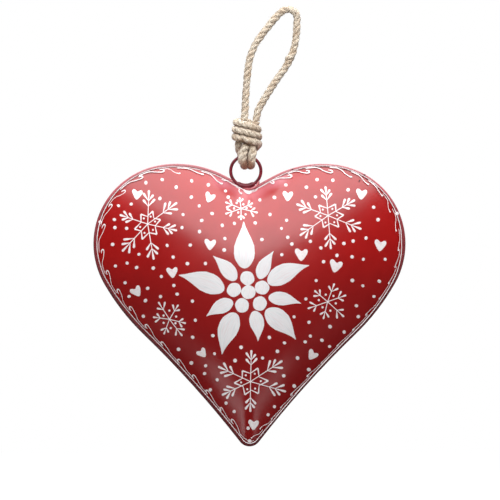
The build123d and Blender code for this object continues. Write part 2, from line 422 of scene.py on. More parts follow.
def twistedCord(name, line, firstPly, inKnotSwell=False, cutEnd=False):
    centre, at = evenly(line, cord["step"])
    tangents, normals, binormals = turnlessFrames(centre, np.array(firstPly))
    twist = at / cord["pitch"] * 2 * math.pi
    scale = swellInKnot(centre) if inKnotSwell else np.ones(len(centre))
    if not inKnotSwell:
        blend = np.minimum(at, at[-1] - at) / cord["swellEase"]
        scale = np.interp(blend, [0, 1], [cord["knotSwell"], 1])
    if cutEnd:
        scale *= np.interp(at[-1] - at, *cord["cutEnd"])
    rnd = np.random.default_rng(len(name))
    verts, faces, uvs = [], [], []
    sides = cord["plySides"]
    for ply in range(cord["plies"]):
        angle = twist + ply * 2 * math.pi / cord["plies"]
        outward = normals * np.cos(angle)[:, None] + binormals * np.sin(angle)[:, None]
        aside = np.cross(tangents, outward)
        lumps = max(4, round(at[-1] / cord["lumpEvery"]))
        uneven = np.interp(at, np.linspace(0, at[-1], lumps), rnd.normal(0, 1, lumps))
        swell = scale * (1 + cord["lump"] * uneven)
        if not inKnotSwell:
            row = int(np.argmin(np.linalg.norm(centre - np.array(cord["slubPlace"]), axis=1)))
            facing = max(0, -outward[row][0])
            swell += cord["slub"] * facing * np.exp(-((at - at[row]) / cord["slubLong"]) ** 2)
        start = len(verts)
        for k in range(len(centre)):
            for j in range(sides):
                turn = j / sides * 2 * math.pi
                out = cord["plyOffset"] * scale[k] + math.cos(turn) * cord["plyThick"] * swell[k]
                over = math.sin(turn) * cord["plyWide"] * swell[k]
                verts.append(centre[k] + outward[k] * out + aside[k] * over)
                uvs.append((j / sides + ply, at[k] / cord["pitch"]))
        faces += tubeFaces(start, len(centre), sides)
    endPly = normals[-1] * math.cos(twist[-1]) + binormals[-1] * math.sin(twist[-1])
    return meshPiece(name, verts, faces, uvs), centre, endPly, (tangents, normals, binormals)


# Painted shade: the cord is darkened in the grooves between the plies and where strands lie on each other
def grooveShadeOn(pieces, centres, alongs):
    for piece, centre, at in zip(pieces, centres, alongs):
        verts = np.array([v.co for v in piece.data.vertices], np.float32)
        index = np.arange(len(verts))
        ownAt = at[index // cord["plySides"] % len(centre)]
        turn = index % cord["plySides"] / cord["plySides"] * 2 * math.pi
        groove = np.clip(cord["grooveFrom"] - np.cos(turn), 0, 1) * cord["groove"]
        gap = np.ones(len(verts))
        for other, otherAt in zip(centres, alongs):
            apart = np.linalg.norm(verts[:, None] - other[None, ::3].astype(np.float32), axis=2)
            apart[np.abs(ownAt[:, None] - otherAt[None, ::3]) < cord["shadeApart"]] = 1
            gap = np.minimum(gap, apart.min(axis=1))
        touch = np.interp(gap, [cord["shadeNear"], cord["shadeFar"]], [1, 0])
        layer = piece.data.attributes.new("grooveShade", "FLOAT", "POINT")
        layer.data.foreach_set("value", np.maximum(groove, touch).astype(np.float32))


# Loose hairs: ranges of their way along and out of the cord, of their curl and of their length in mm
fuzz = {
    "perMetre": 3600, "reach": (1.2, 3.6), "shorter": (0.4, 1), "thick": 0.035 * mm, "sides": 3, "seed": 4,
    "along": (0.7, 1.0), "out": (0.25, 0.8), "curlOut": (-0.9, 0.5), "curlOver": (-0.8, 0.8), "curl": 0.45,
    "rootDepth": 0.25 * mm, "taper": 0.6, "shares": (0, 0.35, 0.7, 1.0),
}


def fibres(name, lines):
    rnd = random.Random(fuzz["seed"])
    verts, faces = [], []
    for centre, frames in lines:
        tangents, normals, binormals = frames
        length = len(centre) * cord["step"]
        for _ in range(round(fuzz["perMetre"] * length)):
            k = rnd.randrange(2, len(centre) - 2)
            turn = rnd.uniform(0, 2 * math.pi)
            out = normals[k] * math.cos(turn) + binormals[k] * math.sin(turn)
            way = tangents[k] * rnd.choice((-1, 1)) * rnd.uniform(*fuzz["along"])
            way = unit(way + out * rnd.uniform(*fuzz["out"]))
            curl = out * rnd.uniform(*fuzz["curlOut"]) + np.cross(way, out) * rnd.uniform(*fuzz["curlOver"])
            reach = rnd.uniform(*fuzz["reach"]) * mm * rnd.uniform(*fuzz["shorter"])
            root = centre[k] + out * (cord["diameter"] / 2 - fuzz["rootDepth"])
            side = unit(np.cross(way, curl))
            other = np.cross(way, side)
            start = len(verts)
            for share in fuzz["shares"]:
                spot = root + way * reach * share + curl * reach * fuzz["curl"] * share ** 2
                thick = fuzz["thick"] * (1 - fuzz["taper"] * share)
                for n in range(fuzz["sides"]):
                    a = n / fuzz["sides"] * 2 * math.pi
                    verts.append(spot + (side * math.cos(a) + other * math.sin(a)) * thick)
            faces += [face[::-1] for face in tubeFaces(start, len(fuzz["shares"]), fuzz["sides"])]
    return meshPiece(name, verts, faces)


jute = {
    # Noises are scale, detail and roughness; tones are stops of a ramp over them
    "patches": (180, 4, 0.6), "patchTones": [(0.34, (0.74, 0.60, 0.43)), (0.58, (0.93, 0.85, 0.69))],
    "specks": (1150, 4, 0.7), "speckShares": [(0.38, (0.7, 0.7, 0.7)), (0.5, (0, 0, 0))],
    "dark": (0.30, 0.18, 0.10),
    "streaks": (1.0, 6, 0.75), "streakStretch": (16, 7, 1), "streakDepth": 0.9,
    "streakTones": [(0.3, (0.52, 0.42, 0.33)), (0.48, (1, 1, 1))],
    # The colour of the painted shade in the grooves and where strands touch
    "grooveShade": (0.27, 0.16, 0.09), "shadeLeast": 0.4,
    # Painted shade spots in the knot, under the winding and at the bight by the ring, reddish there as a
    # painted reflection of the ring: place in the knot in mm, reach of the full and of the faintest tint,
    # colour
    "knotShade": [((0.3, -4.6, -5.6), 2.6 * mm, 5.6 * mm, (0.50, 0.32, 0.25)),
             ((-2.6, -6.8, 7.2), 1.0 * mm, 3.2 * mm, (0.42, 0.33, 0.26)),
             ((1.0, -6.8, 6.4), 0.8 * mm, 2.6 * mm, (0.42, 0.33, 0.26))],
    "bump": (0.5 * mm, 0.9), "speckBump": 0.6,  # depth, strength
    "surface": {"Roughness": 0.86, "Specular IOR Level": 0.2, "Sheen Weight": 0.3},
}


def juteMaterial(name, perStrand):
    mat, tree, shader = newMaterial(name)
    coords = texCoords(tree, "Object")
    patches = noiseOn(tree, coords, *jute["patches"])
    tone = ramp(tree, patches, jute["patchTones"])
    specks = noiseOn(tree, coords, *jute["specks"])
    tone = mixed(tree, ramp(tree, specks, jute["speckShares"]), tone, (*jute["dark"], 1))
    if perStrand:
        strandCoords = stretched(tree, texCoords(tree, "UV"), jute["streakStretch"])
        streaks = noiseOn(tree, strandCoords, *jute["streaks"])
        tone = mixed(tree, jute["streakDepth"], tone, ramp(tree, streaks, jute["streakTones"]), "MULTIPLY")
        # Painted shade: the per-vertex attribute darkens the grooves and the places where strands touch
        wearAndShade = tree.nodes.new("ShaderNodeAttribute")
        wearAndShade.attribute_name = "grooveShade"
        patchyShade = sums(tree, "MULTIPLY", wearAndShade.outputs["Fac"], sums(tree, "ADD", patches, jute["shadeLeast"]))
        tone = mixed(tree, patchyShade, tone, (*jute["grooveShade"], 1))
        # Painted shade spots in the knot
        for place, full, faint, knotShade in jute["knotShade"]:
            tone = tinted(tree, nearSpot(tree, coords, inKnot(*place), full, faint), tone, knotShade)
        rough = sums(tree, "ADD", streaks, sums(tree, "MULTIPLY", specks, jute["speckBump"]))
        bumpFrom(tree, shader, rough, *jute["bump"])
    colourOf(tree, shader, tone, jute["surface"])
    return mat


def makeCord():
    strandMat = juteMaterial("twistedJute", True)
    fibreMat = juteMaterial("juteFibres", False)
    loopLine = routeLine("loopRoute", loopPoints())
    leftLine = routeLine("leftRoute", leftPoints())
    rightLine = routeLine("rightRoute", rightPoints())
    loop, loopCentre, loopEnd, loopFrames = twistedCord("hangingCordLoop", loopLine, (1.0, 0.0, 0.0))
    left, leftCentre, _, leftFrames = twistedCord("knotStrandWithTail", leftLine, loopEnd, True, True)
    right, rightCentre, _, rightFrames = twistedCord("knotWinding", rightLine, (1.0, 0.0, 0.0), True, True)
    lines = [(loopCentre, loopFrames), (leftCentre, leftFrames), (rightCentre, rightFrames)]
    hairs = fibres("juteHairs", lines)
    loopAt, leftAt, rightAt = (np.arange(len(centre)) * cord["step"] for centre, _ in lines)
    centres = (loopCentre, leftCentre, rightCentre)
    grooveShadeOn((loop, left, right), centres, (loopAt, loopAt[-1] + leftAt, -rightAt))
    for piece, node in ((loop, "cord_loop"), (left, "knot_strand"), (right, "knot_winding")):
        paint(piece, strandMat)
        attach(piece, "cord")
        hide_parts(node)
    paint(hairs, fibreMat)
    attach(hairs, "cord")
    length = float(np.linalg.norm(np.diff(loopCentre, axis=0), axis=1).sum())
    print("free loop is", round(length, 4), "m long")


makeCord()
print("cord twisted")


# Lacquered tin

lacquer = {
    # Noises are scale, detail and roughness; tones are stops of a ramp over them
    "cloud": (38, 6, 0.6), "cloudTones": [(0.36, (0.37, 0.0060, 0.0055)), (0.64, (0.43, 0.0080, 0.0070))],
    # Painted shade: the lacquer turns a deeper red towards the tip, where the dome turns down, away from the
    # overhead light
    "low": (0.285, 0.0048, 0.0052), "lowSpan": (250, 345),  # deeper towards the tip, in pixels
    # Painted highlight: pale pink patches of reflected overhead light beside the notch: pixel, reach of the
    # full and of the faintest tint, colour
    "notchHighlight": [((249.5, 186), 5 * mm, 17 * mm, (0.66, 0.19, 0.21)),
              ((220, 187), 2 * mm, 10 * mm, (0.66, 0.22, 0.27)),
              ((279, 185), 2 * mm, 10 * mm, (0.66, 0.22, 0.26))],
    # Painted shade: the lacquer is darker towards the seam, where the dome turns away from the light
    "seamShade": (0.8, 0.7, 0.7), "seamShadeSpan": (-3.2 * mm, -1.3 * mm),  # towards the seam, in Y
    # The hem's tone by its height, in the photograph's pixels: painted light and shade, pale where it faces
    # the overhead light above, deep maroon in painted shade below
    "hem": [(165, (0.60, 0.22, 0.24)), (190, (0.56, 0.11, 0.13)), (212, (0.34, 0.03, 0.04)),
            (245, (0.19, 0.007, 0.012)), (300, (0.085, 0.004, 0.006))],
    "hemHalf": 1.15 * mm, "wearAndShade": (420, 5, 0.7), "wornTones": [(0.33, (0.55, 0.5, 0.5)), (0.42, (1, 1, 1))],
    "ringCloud": (300, 4, 0.6), "ringTones": [(0.35, (0.12, 0.010, 0.018)), (0.65, (0.25, 0.020, 0.036))],
    "peel": (900, 3, 0.5), "peelShare": 0.03, "dents": (60, 2, 0.4), "bump": (0.25 * mm, 0.5),
    "surface": {"Roughness": 0.5, "Specular IOR Level": 0.05, "Coat Roughness": 0.26, "Coat IOR": 1.72},
    "coat": 1.0, "ringCoat": 0.45,
}


def redLacquer(name, hem=False):
    mat, tree, shader = newMaterial(name)
    coords = texCoords(tree, "Object")
    tone = ramp(tree, noiseOn(tree, coords, *lacquer["cloud"]), lacquer["cloudTones"])
    parts = tree.nodes.new("ShaderNodeSeparateXYZ")
    tree.links.new(coords, parts.inputs[0])
    # Painted shade, deeper red towards the tip
    lower = rangeOf(tree, parts.outputs["Z"], *(photoPlace(0, py).z for py in lacquer["lowSpan"]))
    tone = mixed(tree, lower, tone, (*lacquer["low"], 1))
    # Painted highlight, pink reflected light beside the notch
    for place, full, faint, notchHighlight in lacquer["notchHighlight"]:
        tone = mixed(tree, nearSpot(tree, coords, photoPlace(*place), full, faint), tone, (*notchHighlight, 1))
    # Painted shade, darker towards the seam
    tone = tinted(tree, rangeOf(tree, parts.outputs["Y"], *lacquer["seamShadeSpan"]), tone, lacquer["seamShade"])
    if hem:
        nearSeam = sums(tree, "LESS_THAN", sums(tree, "ABSOLUTE", parts.outputs["Y"], 0), lacquer["hemHalf"])
        top, bottom = lacquer["hem"][0][0], lacquer["hem"][-1][0]
        down = rangeOf(tree, parts.outputs["Z"], photoPlace(0, top).z, photoPlace(0, bottom).z)
        # Painted light and shade on the hem: pale at the top, deep maroon towards the tip
        hemLightAndShade = ramp(tree, down, [((py - top) / (bottom - top), colour) for py, colour in lacquer["hem"]])
        wearAndShade = ramp(tree, noiseOn(tree, coords, *lacquer["wearAndShade"]), lacquer["wornTones"])
        tone = mixed(tree, nearSeam, tone, mixed(tree, 1.0, hemLightAndShade, wearAndShade, "MULTIPLY"))
    finishLacquer(tree, shader, coords, tone, lacquer["coat"])
    return mat


def ringLacquer(name):
    mat, tree, shader = newMaterial(name)
    coords = texCoords(tree, "Object")
    tone = ramp(tree, noiseOn(tree, coords, *lacquer["ringCloud"]), lacquer["ringTones"])
    finishLacquer(tree, shader, coords, tone, lacquer["ringCoat"])
    return mat


def finishLacquer(tree, shader, coords, tone, coat):
    colourOf(tree, shader, tone, {**lacquer["surface"], "Coat Weight": coat})
    peel = sums(tree, "MULTIPLY", noiseOn(tree, coords, *lacquer["peel"]), lacquer["peelShare"])
    uneven = sums(tree, "ADD", peel, noiseOn(tree, coords, *lacquer["dents"]))
    bumpFrom(tree, shader, uneven, *lacquer["bump"])


paint(nodes["front_shell"], redLacquer("frontLacquer"))
paint(nodes["back_shell"], redLacquer("backLacquer", hem=True))
paint(nodes["hanging_ring"], ringLacquer("ringLacquer"))
paint(nodes["ring_solder"], ringLacquer("solderLacquer"))
print("lacquer done")


# White paint, laid on the dome with a brush. Places are pixels of the photograph.

brush = {
    "height": 0.05 * mm, "sink": 0.02 * mm, "wall": 0.12 * mm, "rowStep": 1.1, "dropStep": 1.6,
    "edgeFall": 0.5, "ringSpread": 0.6, "caps": (0.9, 1.45), "sharpAngle": math.radians(35),
}
tinVerts, tinFaces = [], []
for shell in ("front_shell", "back_shell"):  # the back shell's hem shows in front as well
    first = len(tinVerts)
    tinVerts += [v.co.copy() for v in nodes[shell].data.vertices]
    tinFaces += [tuple(first + v for v in p.vertices) for p in nodes[shell].data.polygons]
tinTree = BVHTree.FromPolygons(tinVerts, tinFaces)


def onDome(px, py):
    way = (photoPlace(px, py) - cameraSpot).normalized()
    place, normal, _, _ = tinTree.ray_cast(cameraSpot, way)
    if place is None:
        place, normal, _, _ = tinTree.find_nearest(photoPlace(px, py))
    return place, normal


def turned(x, y, angle):
    c, s = math.cos(angle), math.sin(angle)
    return np.array([x * c - y * s, x * s + y * c])


def wobbly(n, waves):
    return lambda a: 1 + sum(height * math.sin(count * a + shift * n) for height, count, shift in waves)


class Painting:
    def __init__(self, name, wall=brush["wall"], front=0.0):
        self.name, self.verts, self.faces, self.uvs = name, [], [], []
        self.wall, self.front = wall, front

    def dab(self, x, y, radius, squash=1.0, turn=0.0, sides=12, rings=2, shape=None):
        start = len(self.verts)
        self.put(x, y, 1.0, (0.5, 0.5))
        for ring in range(1, rings + 1):
            share = (ring / rings) ** brush["ringSpread"]
            for n in range(sides):
                a = n / sides * 2 * math.pi
                r = radius * share * (shape(a) if shape else 1.0)
                spot = turned(r * math.cos(a), r * squash * math.sin(a), turn) + (x, y)
                uv = (0.5 + 0.5 * share * math.cos(a), 0.5 + 0.5 * share * math.sin(a))
                self.put(*spot, 1 - brush["edgeFall"] * share ** 4, uv)
        for n in range(sides):
            m = (n + 1) % sides
            self.faces.append((start, start + 1 + n, start + 1 + m))
            for ring in range(1, rings):
                inner, outer = start + 1 + (ring - 1) * sides, start + 1 + ring * sides
                self.faces.append((inner + n, outer + n, outer + m, inner + m))

    def stroke(self, points, widths, columns=2, caps=brush["caps"], step=brush["rowStep"]):
        spine, wide = smoothLine(points, widths, step)
        rows = list(zip(spine, wide))
        ahead = unit(spine[-1] - spine[-2]) * wide[-1]
        for angle in caps:
            rows.append((spine[-1] + ahead * math.sin(angle), wide[-1] * math.cos(angle)))
        line = np.array([p for p, _ in rows])
        along = np.gradient(line, axis=0)
        along /= np.maximum(np.linalg.norm(along, axis=1), 1e-9)[:, None]
        start = len(self.verts)
        for k, (p, w) in enumerate(rows):
            aside = np.array([-along[k][1], along[k][0]])
            for c in range(-columns, columns + 1):
                share = c / columns
                spot = p + aside * share * w
                crown = 1 - brush["edgeFall"] * (1 if k in (0, len(rows) - 1) else abs(share) ** 4)
                self.put(*spot, crown, (0.5 + share / 2, k / (len(rows) - 1)))
        span = 2 * columns + 1
        for k in range(len(rows) - 1):
            for c in range(span - 1):
                a = start + k * span + c
                self.faces.append((a, a + span, a + span + 1, a + 1))

    def put(self, px, py, crown, uv):
        place, normal = onDome(px, py)
        place.y = min(place.y, self.front)
        self.verts.append(place + normal * (crown * (brush["height"] + brush["sink"]) - brush["sink"]))
        self.uvs.append(uv)

    def finish(self, mat):
        piece = meshPiece(self.name, self.verts, self.faces, self.uvs)
        wall = piece.modifiers.new("paintFilm", "SOLIDIFY")
        wall.thickness = self.wall
        wall.offset = -1
        selectOnly(piece)
        bpy.ops.object.mode_set(mode="EDIT")
        bpy.ops.mesh.select_all(action="SELECT")
        bpy.ops.mesh.normals_make_consistent(inside=False)
        bpy.ops.object.mode_set(mode="OBJECT")
        if piece.data.polygons[0].normal.y > 0:
            piece.data.flip_normals()
        bpy.ops.object.modifier_apply(modifier=wall.name)
        bpy.ops.object.shade_smooth_by_angle(angle=brush["sharpAngle"])
        paint(piece, mat)
        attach(piece, "heart")


# A curve through the points, with the widths between them
def smoothLine(points, widths, step):
    pts = np.array(points, float)
    wide = np.array(widths, float)
    if len(pts) == 2:
        count = max(2, math.ceil(np.linalg.norm(pts[1] - pts[0]) / step) + 1)
        share = np.linspace(0, 1, count)
        return pts[0] + (pts[1] - pts[0]) * share[:, None], np.interp(share, [0, 1], wide)
    padded = np.vstack([2 * pts[0] - pts[1], pts, 2 * pts[-1] - pts[-2]])
    line, width = [], []
    for k in range(len(pts) - 1):
        a, b, c, d = padded[k:k + 4]
        count = max(2, math.ceil(np.linalg.norm(c - b) / step))
        for t in np.arange(count) / count:
            bend = (2 * a - 5 * b + 4 * c - d) * t ** 2 + (3 * b - a - 3 * c + d) * t ** 3
            line.append(0.5 * (2 * b + (c - a) * t + bend))
            width.append(wide[k] + (wide[k + 1] - wide[k]) * t)
    line.append(pts[-1])
    width.append(wide[-1])
    return np.array(line), np.array(width)


# Edelweiss: petals as (tip, base, width, bend)

petals = [
    ((243.7, 221.7), (244.7, 268.4), 21.5, 0), ((273.5, 251.1), (259.5, 278.9), 14, -1.5),
    ((309, 265.4), (268.2, 283.5), 20, -3), ((301.1, 303.4), (268.4, 297.8), 14, -1.5),
    ((295.7, 339.4), (265.6, 310.5), 21, -2.5), ((258, 341.1), (253.9, 311), 15, -1.5),
    ((222, 354.2), (236, 313.1), 21, 2.5), ((206.4, 316.1), (233, 301.8), 15, 1.5),
    ((178.9, 275.1), (223.8, 290.6), 21, 2.5), ((213.1, 255.9), (235.5, 280.4), 15, 1.5),
]
# A petal's width along it, both as shares
petalShares = [
    (0, 0.05), (0.015, 0.26), (0.04, 0.42), (0.08, 0.57), (0.14, 0.74), (0.22, 0.9), (0.33, 0.97),
    (0.48, 0.93), (0.62, 0.71), (0.76, 0.42), (0.88, 0.19), (1, 0.03),
]
seeds = [(247.3, 278.2), (262.1, 287.6), (248.4, 292.1), (234, 289.8), (259.8, 303.5), (242, 305.4)]
seed = {"radius": 7.1, "waves": [(0.03, 2, 1), (0.02, 5, 2)]}


def paintPetal(art, tip, base, width, bend):
    tip, base = np.array(tip), np.array(base)
    along = tip - base
    aside = unit(np.array([-along[1], along[0]]))
    shares, wides = np.array(petalShares).T
    halves = wides * width / 2
    spine = [base + along * s + aside * bend * math.sin(math.pi * s) for s in shares]
    art.stroke(spine, halves, columns=4, caps=())


def paintEdelweiss(mat):
    art = Painting("edelweissPaint")
    for petal in petals:
        paintPetal(art, *petal)
    for n, (x, y) in enumerate(seeds):
        art.dab(x, y, seed["radius"], sides=24, rings=5, shape=wobbly(n, seed["waves"]))
    art.finish(mat)


# Snowflakes: stems that end in drops, a star with dots in its points on the large ones.
# Each is (centre, ends of the arms, points of the star).

flakes = [
    ((147.7, 224), [(149, 190.3), (177.2, 202.6), (177.2, 230.6), (153.8, 259.7), (122.1, 251.5),
     (119.6, 214.8)], [(152.8, 211.2), (160.4, 219.7), (156.8, 234.2), (142.2, 239.3), (134.6, 229.1),
     (141, 214.3)]),
    ((328.1, 215.6), [(325.4, 186.3), (355, 199.9), (361.5, 229.2), (330.9, 249.2), (299.7, 235.7),
     (296.4, 204.2)], [(335.4, 204.2), (343.6, 215.1), (338.7, 227), (323.5, 227.5), (314.8, 216.4),
     (318.9, 205.3)]),
    ((250.5, 381.6), [(251.4, 350), (282.5, 360.7), (286.1, 391.7), (250.3, 412), (221.8, 395.2),
     (218, 366.5)], [(257.9, 368.1), (268.2, 380.9), (258.4, 393.6), (244.9, 394.7), (234.3, 383),
     (242.4, 370.8)]),
    ((241, 208.7), [(239.5, 197.4), (253, 203.1), (257.9, 212.9), (241, 220.2), (225.2, 214.1),
     (225.2, 202.2)], []),
    ((327.6, 301.7), [(334.4, 283.4), (346.3, 295.1), (344.1, 316.9), (323.3, 319.1), (307.5, 308.7),
     (314.3, 290.5)], []),
    ((169.5, 319.3), [(158.3, 301.9), (178.4, 304.6), (186, 323.4), (182.4, 336.1), (163.8, 334.5),
     (152.9, 317.1)], []),
]
snow = {
    # Sprigs as (share of the arm, angle, length); half widths and radii in pixels, the rest as shares
    "largeSprig": [(0.52, 40, 0.2), (0.52, -40, 0.2), (0.68, 36, 0.19), (0.68, -36, 0.19)],
    "smallSprig": [(0.55, 45, 0.26), (0.55, -45, 0.26)],
    "sprigLength": 1.2, "sprigWobble": 0.12, "sprigHalf": 0.2,
    "neck": 0.72, "stemHalf": 0.4, "neckHalf": 0.35, "largeDrop": 1.18, "smallDrop": 1.0,
    "dropPlaces": (0, 0.4, 0.75, 1), "dropSwell": 0.35, "dropWide": 0.9,
    "dent": 0.68, "pointHalf": 0.8, "dentHalf": 0.32,
    "starDot": 0.58, "starDotRadius": 1.0, "sideDot": 0.42, "sideDotRadius": 1.15,
}


def paintDrop(art, start, end, thin, fat):
    places = [start + (end - start) * share for share in snow["dropPlaces"]]
    widths = [thin, thin + (fat - thin) * snow["dropSwell"], fat * snow["dropWide"], fat]
    art.stroke(places, widths, columns=1, step=brush["dropStep"])


def paintFlake(art, centre, tips, star):
    centre = np.array(centre)
    arms = [np.array(tip) - centre for tip in tips]
    fat = snow["largeDrop"] if star else snow["smallDrop"]
    for n, arm in enumerate(arms):
        neck = centre + arm * snow["neck"]
        art.stroke([centre, neck], [snow["stemHalf"]] * 2, columns=1)
        paintDrop(art, neck, centre + arm * (1 - fat / np.linalg.norm(arm)), snow["neckHalf"], fat)
        for place, angle, length in snow["largeSprig"] if star else snow["smallSprig"]:
            root = centre + arm * place
            length *= snow["sprigLength"] * (1 + snow["sprigWobble"] * math.sin(3 * n + angle))
            paintDrop(art, root, root + turned(*arm, math.radians(angle)) * length, snow["sprigHalf"], fat)
    for n, point in enumerate(np.array(star)):
        after = np.array(star[(n + 1) % len(star)])
        dent = centre + ((point + after) / 2 - centre) * snow["dent"]
        for end in (point, after):
            art.stroke([end, dent], [snow["pointHalf"], snow["dentHalf"]], columns=1)
        art.dab(*(centre + (point - centre) * snow["starDot"]), snow["starDotRadius"], sides=10, rings=1)
    for n, arm in enumerate([] if star else arms):
        after = arms[(n + 1) % len(arms)]
        spot = centre + unit(unit(arm) + unit(after)) * np.linalg.norm(arm) * snow["sideDot"]
        art.dab(*spot, snow["sideDotRadius"], sides=10, rings=1)


def paintSnowflakes(mat):
    art = Painting("snowflakePaint")
    for flake in flakes:
        paintFlake(art, *flake)
    art.finish(mat)


# Small hearts as (x, y, turn in degrees, size), and the dots between the motifs

smallHearts = [
    (137.2, 194.1, 8, 0.9), (209.8, 197.4, 22, 0.88), (210.2, 244.1, 4, 0.98), (172.3, 272.1, -6, 0.95),
    (136.4, 291.3, -32, 0.93), (287.9, 195.8, 3, 0.88), (361.5, 193.9, 6, 0.94), (380.3, 245.1, 8, 1.0),
    (301.4, 254.2, 2, 1.1), (335.8, 265.8, 14, 1.1), (202.1, 352.9, -38, 0.83), (312.5, 354.9, 35, 0.88),
    (253.6, 424.5, 3, 0.9),
]
dots = [
    (162.2, 179.6), (145.9, 182.7), (176.2, 187.2), (191.7, 180.9), (208.4, 184.9), (225.5, 191),
    (228.3, 197.1), (191.3, 197.1), (199.2, 205.9), (212.1, 213.5), (183.1, 214.5), (201.7, 220.4),
    (222.3, 225.3), (234.4, 223.3), (159.9, 198.5), (131.3, 204.1), (118.6, 205.8), (114.5, 219.6),
    (115, 227.6), (126.7, 228.4), (182, 227.6), (199.5, 231.6), (224.9, 238.6), (224.2, 250),
    (112.7, 244.4), (167.2, 245.4), (190.3, 245.1), (139, 254.3), (173.2, 257.1), (187.4, 263.6),
    (205.5, 263.5), (127.2, 263.1), (115.5, 266), (136.6, 267.6), (153.3, 268.1), (161.4, 276.5),
    (125.2, 282.7), (173.9, 285.5), (147.7, 288.3), (129.1, 296.4), (160.6, 296.6), (177.2, 294.1),
    (259.8, 199.9), (274.4, 197.4), (285.9, 184.9), (306.4, 187.2), (317.1, 179.5), (332.8, 180.2),
    (348.1, 189.8), (315.5, 196.9), (270, 214.5), (286.6, 220.3), (281.5, 228.4), (255.2, 222.9),
    (287.7, 237.3), (261.9, 239.5), (291.8, 244), (310.3, 241.4), (320.8, 247.9), (343.8, 243.5),
    (353.1, 241.1), (366, 238.1), (373.6, 207.3), (378, 219.7), (336.9, 255.4), (352, 256.8),
    (363.3, 259.3), (385.1, 259.3), (281.8, 254.7), (323.5, 261.7), (316.1, 280.5), (352.3, 280.4),
    (362.8, 285.8), (379.2, 281.2), (373.9, 296.4), (145.5, 300.6), (192.5, 301.1), (143.4, 316.2),
    (195.4, 320.2), (212.9, 335.6), (192.7, 337.2), (178.6, 349.3), (214.5, 353.7), (241.1, 347.2),
    (235.1, 360.5), (191.4, 362.9), (205.7, 365.7), (204.6, 373.5), (217.2, 379.7), (210.4, 389.8),
    (226.1, 403.1), (234.3, 411.5), (305.8, 298.9), (294, 316.8), (308.9, 322.2), (330, 326.6),
    (356.3, 305.7), (358.2, 316.6), (344.1, 332), (310.3, 336.1), (305.1, 341.8), (321.9, 340.2),
    (329.5, 346.4), (297.5, 358), (308.7, 369.5), (269.3, 337.4), (284.5, 342.8), (277.4, 351.3),
    (262.5, 358), (283.7, 375.7), (294.2, 386), (274.4, 406.6), (268, 414.7), (248.1, 428.1),
]
dotForm = {"seed": 9, "radius": (1.6, 1.95), "squash": (0.85, 1.0), "turn": (0, 3.1)}

# Reach of a small heart's right half at some angles, from the notch above to the point below
heartReach = [
    (-90, 2.7), (-72, 3.3), (-64, 4.6), (-57, 5.8), (-50, 6.4), (-38, 6.8), (-26, 6.4), (-10, 5.5),
    (13, 4.5), (40, 4.3), (65, 5.0), (79, 5.8), (90, 6.2),
]
tallerLobe = 1.06  # the left lobe stands a little higher


def heartRadius(angle):
    places, reaches = zip(*heartReach)
    side = math.degrees(math.atan2(math.sin(angle), abs(math.cos(angle))))
    taller = math.cos(angle) < 0 and side < 0
    return float(np.interp(side, places, reaches)) * (tallerLobe if taller else 1.0)


def paintHearts(mat):
    art = Painting("smallHeartPaint")
    for x, y, turn, size in smallHearts:
        art.dab(x, y, size, turn=math.radians(turn), sides=36, rings=3, shape=heartRadius)
    art.finish(mat)


def paintDots(mat):
    art = Painting("dotPaint")
    rnd = random.Random(dotForm["seed"])
    for x, y in dots:
        radius, squash, turn = (rnd.uniform(*dotForm[key]) for key in ("radius", "squash", "turn"))
        art.dab(x, y, radius, squash, turn, sides=10, rings=1)
    art.finish(mat)


# Border: the heart's outline from the same arcs as the tin, y up from the lobe tops

outline = {
    "width": 170.0, "height": 154.0, "notchDepth": 13.75, "notchRadius": 4.0, "flankAngle": 28.3,
    "crownAngle": 8.5, "lobeRadius": 43.5, "cheekRadius": 122.0, "cheekAngle": 29.5,
    "sideRadius": 550.0, "tipRadius": 6.5, "axisPixel": 249.5, "topPixel": 163.7, "step": 0.8, "tipFiner": 3,
}


def ray(degrees):
    return np.array([math.cos(math.radians(degrees)), math.sin(math.radians(degrees))])


def bearing(centre, point):
    return math.degrees(math.atan2(point[1] - centre[1], point[0] - centre[0]))


def arc(centre, radius, start, end, finer=1):
    count = max(3, math.ceil(abs(radius * math.radians(end - start)) / outline["step"] * finer))
    return [centre + radius * ray(a) for a in np.linspace(start, end, count, endpoint=False)]


def rightHalf():
    o = outline
    run = o["notchDepth"] / math.tan(math.radians(o["flankAngle"]))
    flankShare = math.tan(math.radians(o["flankAngle"] / 2))
    crownShare = math.sin(math.radians(o["crownAngle"]))
    room = o["width"] / 2 - o["lobeRadius"] + o["lobeRadius"] * crownShare - run
    crownRadius = room / (flankShare + crownShare)
    crown = np.array([run + crownRadius * flankShare, -crownRadius])
    lobe = crown + ray(90 - o["crownAngle"]) * (crownRadius - o["lobeRadius"])
    cheek = lobe - ray(-o["cheekAngle"]) * (o["cheekRadius"] - o["lobeRadius"])
    tip = np.array([0, o["tipRadius"] - o["height"]])
    reach = np.linalg.norm(tip - cheek)
    cheekArm, tipArm = o["sideRadius"] + o["cheekRadius"], o["sideRadius"] + o["tipRadius"]
    along = (cheekArm ** 2 - tipArm ** 2 + reach ** 2) / (2 * reach)
    chord = (tip - cheek) / reach
    side = cheek + chord * along + np.array([-chord[1], chord[0]]) * math.sqrt(cheekArm ** 2 - along ** 2)
    steep = ray(o["flankAngle"] + 90)
    notch = np.array([0, o["notchRadius"] / steep[1] - o["notchDepth"]])
    points = arc(notch, o["notchRadius"], -90, o["flankAngle"] - 90)
    points += [notch - steep * o["notchRadius"]]
    points += arc(crown, crownRadius, o["flankAngle"] + 90, 90 - o["crownAngle"])
    points += arc(lobe, o["lobeRadius"], 90 - o["crownAngle"], -o["cheekAngle"])
    points += arc(cheek, o["cheekRadius"], -o["cheekAngle"], bearing(cheek, side))
    points += arc(side, o["sideRadius"], bearing(side, cheek) % 360, bearing(side, tip) % 360)
    points += arc(tip, o["tipRadius"], bearing(tip, side), -90, o["tipFiner"])
    return np.array(points + [tip - np.array([0, o["tipRadius"]])])


